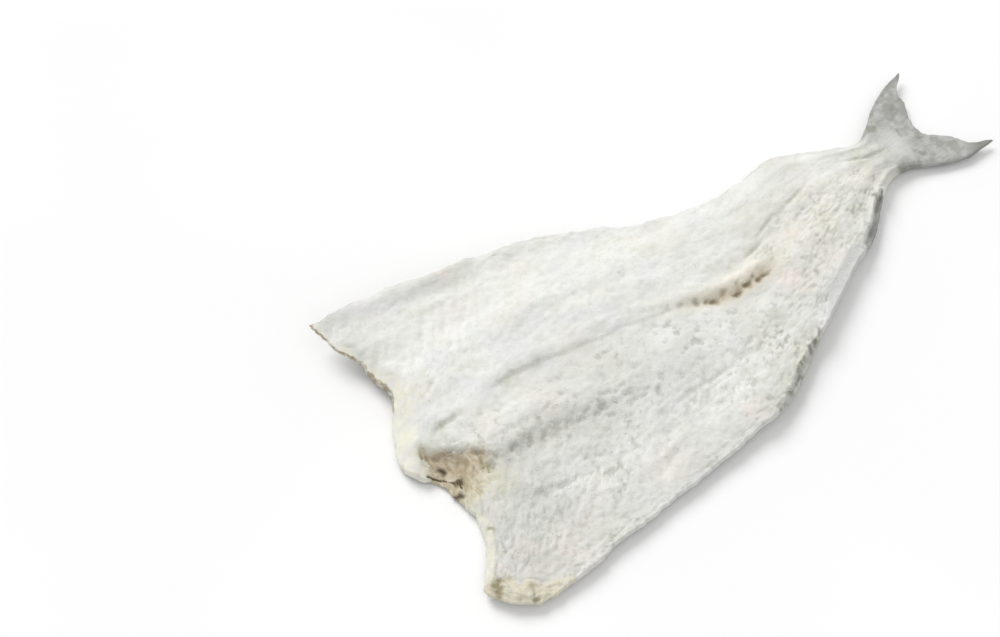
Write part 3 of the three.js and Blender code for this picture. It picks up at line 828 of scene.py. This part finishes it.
def flesh_piece():
    """The upper side, and the rim that goes round down to the skin."""
    rim = rim_index(ROWS, COLUMNS)
    t, s = t_grid.ravel()[rim], s_grid.ravel()[rim]
    low, high = low_top.ravel()[rim], high_top.ravel()[rim]
    points = [np.stack([x_top.ravel(), y_top.ravel(), high_top.ravel()], 1)]
    rings = [rim]
    along = np.arange(len(rim)) * 1.0
    for ring in range(1, RIM_RINGS + 1):
        turn = math.pi * ring / RIM_RINGS
        bulge = 0.28 * rough(along, 9 * ring, 9, 2, 30) * math.sin(turn)
        x, y = plan(t, s, EDGE_ROUND * (1 - math.sin(turn)) + bulge, 1.0)
        z = (low + high) / 2 + (high - low) / 2 * math.cos(turn)
        rings.append(sum(map(len, points)) + np.arange(len(rim)))
        points.append(np.stack([x, y, z], 1))
    faces = [grid_faces(ROWS, COLUMNS)]
    for upper, lower in zip(rings, rings[1:]):
        faces.append(np.stack([upper, lower, np.roll(lower, -1), np.roll(upper, -1)], 1))
    points = np.concatenate(points)
    x, y, _ = points.T
    on_rim = np.arange(len(points)) >= ROWS * COLUMNS
    s_all = np.concatenate([s_grid.ravel()] + [s] * RIM_RINGS)
    return add_mesh("flesh", points, np.concatenate(faces), flesh_shares(x, y, s_all, on_rim))


def skin_piece():
    """The underside, with fine scales."""
    x, y, low, s = (grid[::SKIN_STEP, ::SKIN_STEP] for grid in (x_top, y_top, low_top, s_grid))
    scales = 0.12 * noise(x, y, 2.6, 70) * np.minimum(1, low)
    points = np.stack([x.ravel(), y.ravel(), (low + np.abs(scales)).ravel()], 1)
    fin = ramp(322, 338, x)
    shares = {"outwards": np.abs(s), "fin": fin, "margin": margin_share(x, y), **fin_shades(x, y)}
    return add_mesh("skin", points, grid_faces(*x.shape, upwards=False), shares)


# ------ salt
TRIES = 3  # places drawn for each grain that is wanted
MOSTLY_SMALL = 2.2  # the higher, the fewer are large
GRAIN_HEIGHT = 0.6  # of its width
HIGHEST = solid_high[2] / MM + 0.3  # nothing stands higher


def crystals(name, count, smallest, largest, seed, chance):
    """Grains of salt: little uneven blocks, half sunk in the flesh."""
    rng = np.random.default_rng(SEED + seed)
    t, s = rng.uniform(0.01, 0.99, count * TRIES), rng.uniform(-0.985, 0.985, count * TRIES)
    x, y = plan(t, s, EDGE_ROUND, 1.0)
    half_width = np.where(s > 0, left_edge(x) - spine_line(x), spine_line(x) - right_edge(x))
    kept = rng.uniform(0, 1, len(x)) < chance(x, y) * half_width / NAPE_HALF_WIDTH
    s, x, y = s[kept][:count], x[kept][:count], y[kept][:count]
    _, z = surface(x, y, s)
    size = smallest + (largest - smallest) * rng.uniform(0, 1, len(x)) ** MOSTLY_SMALL
    cube = np.array([(i, j, k) for i in (-1, 1) for j in (-1, 1) for k in (-1, 1)], float) / 2
    corners = cube[None] * rng.uniform(0.65, 1.1, (len(x), 1, 3)) + rng.uniform(-0.12, 0.12, (len(x), 8, 3))
    turn, _ = np.linalg.qr(rng.normal(size=(len(x), 3, 3)))
    turn[np.linalg.det(turn) < 0, :, 0] *= -1
    corners = np.einsum("nij,nkj->nki", turn, corners) * size[:, None, None] * [1, 1, GRAIN_HEIGHT]
    corners += np.stack([x, y, z - 0.05 * size], 1)[:, None, :]
    corners[..., 2] = np.clip(corners[..., 2], 0, HIGHEST)
    quads = np.array([(0, 1, 3, 2), (4, 6, 7, 5), (0, 4, 5, 1), (2, 3, 7, 6), (0, 2, 6, 4), (1, 5, 7, 3)])
    faces = (quads[None] + 8 * np.arange(len(x))[:, None, None]).reshape(-1, 4)
    return add_mesh(name, corners.reshape(-1, 3), faces, smooth=False)


def dusting(x, y):
    """Salt lies thinner on fins, in the hollow, in pits and on stains."""
    bare = (1 - 0.97 * fin_share(x, y)) * (1 - 0.85 * hollow_share(x, y)) * (1 - 0.95 * margin_share(x, y))
    return bare * (1 - pits(x, y)) * (1 - stains(x, y))


def drifts(x, y):
    """Coarse salt lies in patches."""
    return dusting(x, y) * ramp(-0.1, 0.5, rough(x, y, 30, 2, 80))


# ------ materials
def srgb(red, green, blue):
    """A colour given as a screen shows it, 0 to 255, as a linear one."""
    shown = (red / 255, green / 255, blue / 255)
    linear = [c / 12.92 if c <= 0.04045 else ((c + 0.055) / 1.055) ** 2.4 for c in shown]
    return (*linear, 1.0)


# Colours in pairs are the two ends of uneven patches.
SALT = srgb(240, 240, 236), srgb(232, 233, 227)
GREENISH_SALT, ROSY_SALT, BLUISH_SALT = srgb(227, 230, 216), srgb(235, 227, 223), srgb(228, 229, 236)
# Streaks and mottle of coarse salt, and the grey of the dimples: partly painted shade.
STREAKS_AND_SHADE, MOTTLE_AND_SHADE, DIMPLE_GREY_AND_SHADE = srgb(214, 213, 205), srgb(206, 206, 197), srgb(176, 176, 165)
# Grey flesh with painted shade, and painted shade along the crease.
GREY_AND_SHADE, CREASE_SHADE = srgb(196, 197, 191), srgb(182, 181, 172)
# Olive is partly painted shade along furrows and the left loin's lip.
OLIVE_AND_SHADE, PINK = srgb(194, 197, 178), srgb(237, 225, 216)
BARE_STRIP = srgb(208, 208, 206)
CUT_CREAM = srgb(232, 229, 208), srgb(226, 225, 217)
# Tints of bare flesh by the name of their share, with the patches that carry them.
BARE_TINTS = [
    ("yellow", srgb(216, 212, 188), (5, 3, 0.3, 0.62, 0.2, 0.95)),
    # Brownish cut face on the left flap's rim near the nape, and painted shade of the gap beneath it.
    ("rim_brown_and_shade", srgb(158, 142, 112), (5, 3, 0.35, 0.6, 0.15, 0.85)),
    ("torn", srgb(217, 210, 187), (5, 4, 0.34, 0.62, 0.45, 0.9)),
    # Tan flesh beside the pits, and painted shadow below the rolled lip.
    ("tan_and_lip_shadow", srgb(207, 192, 168), (3.5, 3, 0.3, 0.6, 0.2, 0.85)),
    # Cream tint and painted highlight on the rolled lip beside the furrow's torn end.
    ("lip", srgb(243, 238, 225), (5, 3, 0.3, 0.6, 0.35, 1.0)),
]
TISSUE = srgb(205, 191, 166), srgb(180, 163, 134)
LOWER_TISSUE = srgb(206, 201, 177), srgb(184, 177, 150)
# The first is painted shade between the fibres.
SHADE_BETWEEN_FIBRES, PALE_STRANDS = srgb(158, 144, 114), srgb(222, 217, 196)
# Brown tissue, and painted shade below the overhang and deep in the hollow.
BROWN_AND_SHADE = srgb(168, 146, 112), srgb(148, 129, 104)
# Pits and stains are dark marks, partly painted shade along the crease; the gaps' near-black is painted
# shadow.
DARK_MARKS_AND_SHADOWS = {"pits": srgb(124, 113, 88), "stains": srgb(146, 137, 106), "gaps": srgb(80, 66, 48)}
# Dark blots, partly painted shade where the front anal fin meets the flesh.
BLOT_AND_SHADE_GREY = srgb(128, 128, 114)
FIN = srgb(186, 187, 183), srgb(164, 165, 159)
# Fin blots, partly painted shade where the front anal fin meets the flesh.
FIN_STREAKS, FIN_BLOTS_AND_SHADE = srgb(150, 151, 145), srgb(138, 138, 128)
FIN_ROOT, FIN_EDGE = srgb(211, 211, 207), srgb(136, 137, 133)
BACK_SKIN, SIDE_SKIN, BELLY_SKIN = srgb(96, 94, 82), srgb(150, 150, 142), srgb(198, 197, 190)
SKIN_PATCHES, LATERAL_LINE, SALT_ON_SKIN = srgb(84, 82, 72), srgb(205, 202, 190), srgb(232, 231, 226)
GRAINS = srgb(240, 240, 237), srgb(226, 226, 220)
TABLE = srgb(250, 250, 250), srgb(248, 248, 248)


class Shader:
    """A material's node tree, with one short call for each kind of node."""

    def __init__(self, name, roughness, specular):
        self.material = bpy.data.materials.new(name)
        self.material.use_nodes = True
        self.tree = self.material.node_tree
        self.bsdf = self.tree.nodes["Principled BSDF"]
        self.bsdf.inputs["Roughness"].default_value = roughness
        self.bsdf.inputs["Specular IOR Level"].default_value = specular
        self.place = self.node("TexCoord", "Object", {})

    def put(self, socket, value):
        """Links an output to a socket, or sets a value on it."""
        if isinstance(value, bpy.types.NodeSocket):
            self.tree.links.new(value, socket)
        else:
            socket.default_value = value

    def node(self, kind, output, inputs, **settings):
        """Adds a node and returns one of its outputs."""
        node = self.tree.nodes.new("ShaderNode" + kind)
        for key, value in settings.items():
            setattr(node, key, value)
        for key, value in inputs.items():
            self.put(node.inputs[key], value)
        return node.outputs[output]

    def share(self, name):
        """What the mesh holds under this name at each point."""
        return self.node("Attribute", "Fac", {}, attribute_name=name)

    def stretched(self, angle, factors):
        """The place, turned about Z and scaled to draw out a noise."""
        inputs = {"Vector": self.place, "Rotation": (0, 0, angle), "Scale": factors}
        return self.node("Mapping", "Vector", inputs)

    def noise(self, size, detail, place=None, harsh=0.5):
        """Noise from 0 to 1 with bumps about size mm across."""
        inputs = {"Vector": place or self.place, "Scale": 1 / (size * MM), "Detail": detail}
        return self.node("TexNoise", "Fac", {**inputs, "Roughness": harsh})

    def cells(self, size, place):
        """Rounded cells about size mm across."""
        return self.node("TexVoronoi", "Distance", {"Vector": place, "Scale": 1 / (size * MM)})

    def between(self, value, low, high, out_low=0.0, out_high=1.0):
        """A smooth step from out_low to out_high, between low and high."""
        inputs = {0: value, 1: low, 2: high, 3: out_low, 4: out_high}
        return self.node("MapRange", "Result", inputs, interpolation_type="SMOOTHSTEP")

    def patches(self, size, detail, low, high, weakest=0.0, strongest=1.0, place=None):
        """Uneven patches about size mm across."""
        return self.between(self.noise(size, detail, place), low, high, weakest, strongest)

    def math(self, operation, a, b=0.0):
        return self.node("Math", 0, {0: a, 1: b}, operation=operation)

    def blend(self, share, a, b):
        """Colour a where the share is 0, and b where it is 1."""
        return self.node("Mix", 2, {0: share, 6: a, 7: b}, data_type="RGBA")

    def tint(self, colour, name, shade, strength):
        """The colour, tinted by the mesh's share times a strength."""
        return self.blend(self.math("MULTIPLY", self.share(name), strength), colour, shade)

    def fade(self, colour, name, shade, strongest, low=0.1, high=1.0):
        """The colour, tinted as the mesh's share goes from low to high."""
        return self.blend(self.between(self.share(name), low, high, 0, strongest), colour, shade)

    def bump(self, height, depth, under=None):
        """Relief depth mm deep, on top of the relief under it."""
        inputs = {"Height": height, "Distance": depth * MM}
        if under is not None:
            inputs["Normal"] = under
        return self.node("Bump", "Normal", inputs)

    def finish(self, colour, relief=None):
        self.put(self.bsdf.inputs["Base Color"], colour)
        if relief is not None:
            self.put(self.bsdf.inputs["Normal"], relief)
        return self.material


def crust_colour(m):
    """Salted flesh, from greenish to rosy white and greyer in places, partly as painted shade."""
    lengthwise, aslant = m.stretched(0.1, (0.16, 1, 1)), m.stretched(1, (1, 1, 2))
    colour = m.blend(m.patches(26, 4, 0.35, 0.68), *SALT)
    colour = m.blend(m.patches(16, 3, 0.46, 0.70, 0, 0.6), colour, GREENISH_SALT)
    colour = m.blend(m.patches(30, 2, 0.52, 0.66, 0, 0.3), colour, ROSY_SALT)
    colour = m.blend(m.patches(24, 2, 0.52, 0.66, 0, 0.25, aslant), colour, BLUISH_SALT)
    # Darker streaks and mottle where the salt is coarse, partly painted shade in the valley.
    colour = m.tint(colour, "coarse", STREAKS_AND_SHADE, m.patches(4, 3, 0.45, 0.8, 0, 0.2, lengthwise))
    colour = m.tint(colour, "coarse", MOTTLE_AND_SHADE, m.patches(4, 3, 0.44, 0.70, 0, 0.6))
    # Greyer flesh and painted shade in the dimples.
    colour = m.fade(colour, "pitted", DIMPLE_GREY_AND_SHADE, 0.65)
    # Greyer flesh, partly painted shade in the valley and on the flaps.
    colour = m.tint(colour, "grey", GREY_AND_SHADE, m.patches(14, 4, 0.2, 0.7, 0.6, 1.0))
    # Painted shade along the crease.
    colour = m.fade(colour, "crease", CREASE_SHADE, 0.7)
    # Olive tints, partly painted shade along furrows and the left loin's lip.
    colour = m.tint(colour, "olive_and_shade", OLIVE_AND_SHADE, m.patches(3, 3, 0.3, 0.65, 0.3, 1))
    colour = m.tint(colour, "pink", PINK, m.patches(4, 3, 0.3, 0.65, 0.3, 1))
    return m.tint(colour, "strip", BARE_STRIP, 0.85)


def tissue_colour(m):
    """Torn tissue of the hollow, with pale strands and painted shade between the fibres and below the
    overhang.
    """
    strands = m.stretched(0.3, (1, 0.3, 1))
    tissue = m.blend(m.patches(7, 3, 0.42, 0.6), *TISSUE)
    lower = m.blend(m.patches(4, 3, 0.42, 0.6, place=strands), *LOWER_TISSUE)
    tissue = m.blend(m.share("lower"), tissue, lower)
    # Painted shade between the fibres.
    tissue = m.blend(m.between(m.share("fibre"), 0.1, 0.6, 0.45, 0), tissue, SHADE_BETWEEN_FIBRES)
    tissue = m.blend(m.patches(2.6, 4, 0.48, 0.66, 0, 0.6, strands), tissue, PALE_STRANDS)
    # Brown tissue, and painted shade below the overhang and deep in the hollow.
    return m.fade(tissue, "brown", m.blend(m.patches(3, 3, 0.4, 0.6), *BROWN_AND_SHADE), 0.8)


def fin_colour(m):
    """Bare grey skin with fine streaks along the rays."""
    rays = m.stretched(0.0, (0.2, 1, 1))
    colour = m.blend(m.patches(6, 3, 0.42, 0.60), *FIN)
    colour = m.blend(m.patches(2.5, 3, 0.45, 0.7, 0, 0.25, rays), colour, FIN_STREAKS)
    colour = m.fade(colour, "root", FIN_ROOT, 0.85, low=0.0)
    colour = m.fade(colour, "edge", FIN_EDGE, 0.75, low=0.0)
    # Blots, partly painted shade where the front anal fin meets the flesh.
    return m.fade(colour, "blots_and_fold_shade", FIN_BLOTS_AND_SHADE, 0.85)


def flesh_material():
    m = Shader("salted_flesh", roughness=0.88, specular=0.2)
    colour = crust_colour(m)
    cream = m.blend(m.patches(7, 3, 0.4, 0.6), *CUT_CREAM)
    colour = m.tint(colour, "cut", cream, m.patches(5, 3, 0.25, 0.65, 0.3, 0.9))
    for name, shade, patches in BARE_TINTS:
        colour = m.tint(colour, name, shade, m.patches(*patches))
    colour = m.tint(colour, "hollow", tissue_colour(m), 0.9)
    # Dark pits and stains, and painted shadow in the gaps and along the crease.
    for name, shade in DARK_MARKS_AND_SHADOWS.items():
        colour = m.fade(colour, name, shade, 0.95, low=0.15, high=0.95)
    # Blots, partly painted shade where the front anal fin meets the flesh.
    colour = m.fade(colour, "blots_and_fold_shade", BLOT_AND_SHADE_GREY, 0.9)
    fin = fin_colour(m)
    colour = m.blend(m.share("fin"), colour, fin)
    colour = m.blend(m.share("margin"), colour, fin)
    relief = m.bump(m.math("MULTIPLY", m.share("coarse"), m.noise(2.6, 3, harsh=0.6)), 0.55)
    relief = m.bump(m.noise(0.9, 2), 0.03, relief)
    return m.finish(colour, relief)


def skin_material():
    """Dark along the back and pale at the edges, with a lateral line and salt."""
    m = Shader("dried_skin", roughness=0.55, specular=0.4)
    out = m.share("outwards")
    wander = m.math("ADD", out, m.math("MULTIPLY", m.math("SUBTRACT", m.noise(20, 4), 0.5), 0.35))
    colour = m.blend(m.between(wander, 0.12, 0.5), BACK_SKIN, SIDE_SKIN)
    colour = m.blend(m.between(wander, 0.5, 0.9), colour, BELLY_SKIN)
    colour = m.blend(m.patches(6, 4, 0.5, 0.72, 0, 0.5), colour, SKIN_PATCHES)
    line = m.between(m.math("ABSOLUTE", m.math("SUBTRACT", out, 0.33)), 0.006, 0.014, 1, 0)
    off_fin = m.between(m.share("fin"), 0.1, 0.6, 0.8, 0)
    colour = m.blend(m.math("MULTIPLY", line, off_fin), colour, LATERAL_LINE)
    fin = fin_colour(m)
    colour = m.blend(m.share("fin"), colour, fin)
    colour = m.blend(m.share("margin"), colour, fin)
    colour = m.blend(m.patches(2.2, 4, 0.56, 0.66, 0, 0.75), colour, SALT_ON_SKIN)
    relief = m.bump(m.cells(1.7, m.stretched(0, (0.7, 1, 1))), 0.25)
    relief = m.bump(m.noise(5, 4), 0.4, relief)
    return m.finish(colour, relief)


def salt_material():
    m = Shader("salt_crystals", roughness=0.5, specular=0.35)
    return m.finish(m.blend(m.patches(6, 2, 0.35, 0.7), *GRAINS))


def table_material():
    m = Shader("white_table", roughness=0.9, specular=0.1)
    return m.finish(m.blend(m.patches(300, 2, 0.4, 0.6), *TABLE))


# ------ put together
fish_flesh = flesh_piece()
fish_skin = skin_piece()
fine_salt = crystals("fine_salt", count=8000, smallest=0.3, largest=0.65, seed=90, chance=dusting)
coarse_salt = crystals("coarse_salt", count=380, smallest=0.5, largest=0.9, seed=91, chance=drifts)
fish_flesh.data.materials.append(flesh_material())
fish_skin.data.materials.append(skin_material())
salt = salt_material()
for grains in (fine_salt, coarse_salt):
    grains.data.materials.append(salt)
for piece in (fish_flesh, fish_skin, fine_salt, coarse_salt):
    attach(piece, "root")
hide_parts("split_pollock")

# ------ floor, light and camera
FLOOR_REACH = 6  # in metres
FLOOR_HEIGHT = -0.0004  # just below the skin
FISH_HEADING = math.radians(39.22)  # of its axis, from the camera's right
CAMERA_HEIGHT = math.radians(58)  # above the horizon
CAMERA_DISTANCE = 1.347  # in metres
LENS, SENSOR = 85, 36  # in mm
AIM_X, AIM_Y = (79.24 + SHIFT_X) * MM, (55.36 + SHIFT_Y) * MM  # the middle of the picture
STUDIO_BRIGHTNESS = 0.58

scene = bpy.context.scene
floor_mesh = bpy.data.meshes.new("floor")
corners = ((-1, -1), (1, -1), (1, 1), (-1, 1))
floor_mesh.from_pydata([(x * FLOOR_REACH, y * FLOOR_REACH, FLOOR_HEIGHT) for x, y in corners], [], [range(4)])
floor = bpy.data.objects.new("floor", floor_mesh)
scene.collection.objects.link(floor)
floor.data.materials.append(table_material())

camera_data = bpy.data.cameras.new("camera")
camera_data.lens = LENS
camera_data.sensor_width = SENSOR
camera = bpy.data.objects.new("camera", camera_data)
back = CAMERA_DISTANCE * math.cos(CAMERA_HEIGHT)
camera.location = (
    AIM_X - back * math.sin(FISH_HEADING),
    AIM_Y - back * math.cos(FISH_HEADING),
    CAMERA_DISTANCE * math.sin(CAMERA_HEIGHT),
)
camera.rotation_euler = (math.pi / 2 - CAMERA_HEIGHT, 0, -FISH_HEADING)
scene.collection.objects.link(camera)
scene.camera = camera


def soft_sun(name, heading, height, strength, width):
    """A wide light from far off, heading from the camera's right, in degrees."""
    light = bpy.data.lights.new(name, "SUN")
    light.energy = strength
    light.angle = math.radians(width)
    lamp = bpy.data.objects.new(name, light)
    lamp.rotation_euler = (math.radians(90 - height), 0, math.radians(heading + 90) - FISH_HEADING)
    scene.collection.objects.link(lamp)


soft_sun("key", heading=125, height=43, strength=1.8, width=34)
soft_sun("fill", heading=-60, height=60, strength=0.3, width=60)
world = bpy.data.worlds.new("studio")
world.use_nodes = True
background = world.node_tree.nodes["Background"]
background.inputs["Color"].default_value = (1, 1, 1, 1)
background.inputs["Strength"].default_value = STUDIO_BRIGHTNESS
scene.world = world
scene.view_settings.view_transform = "Standard"
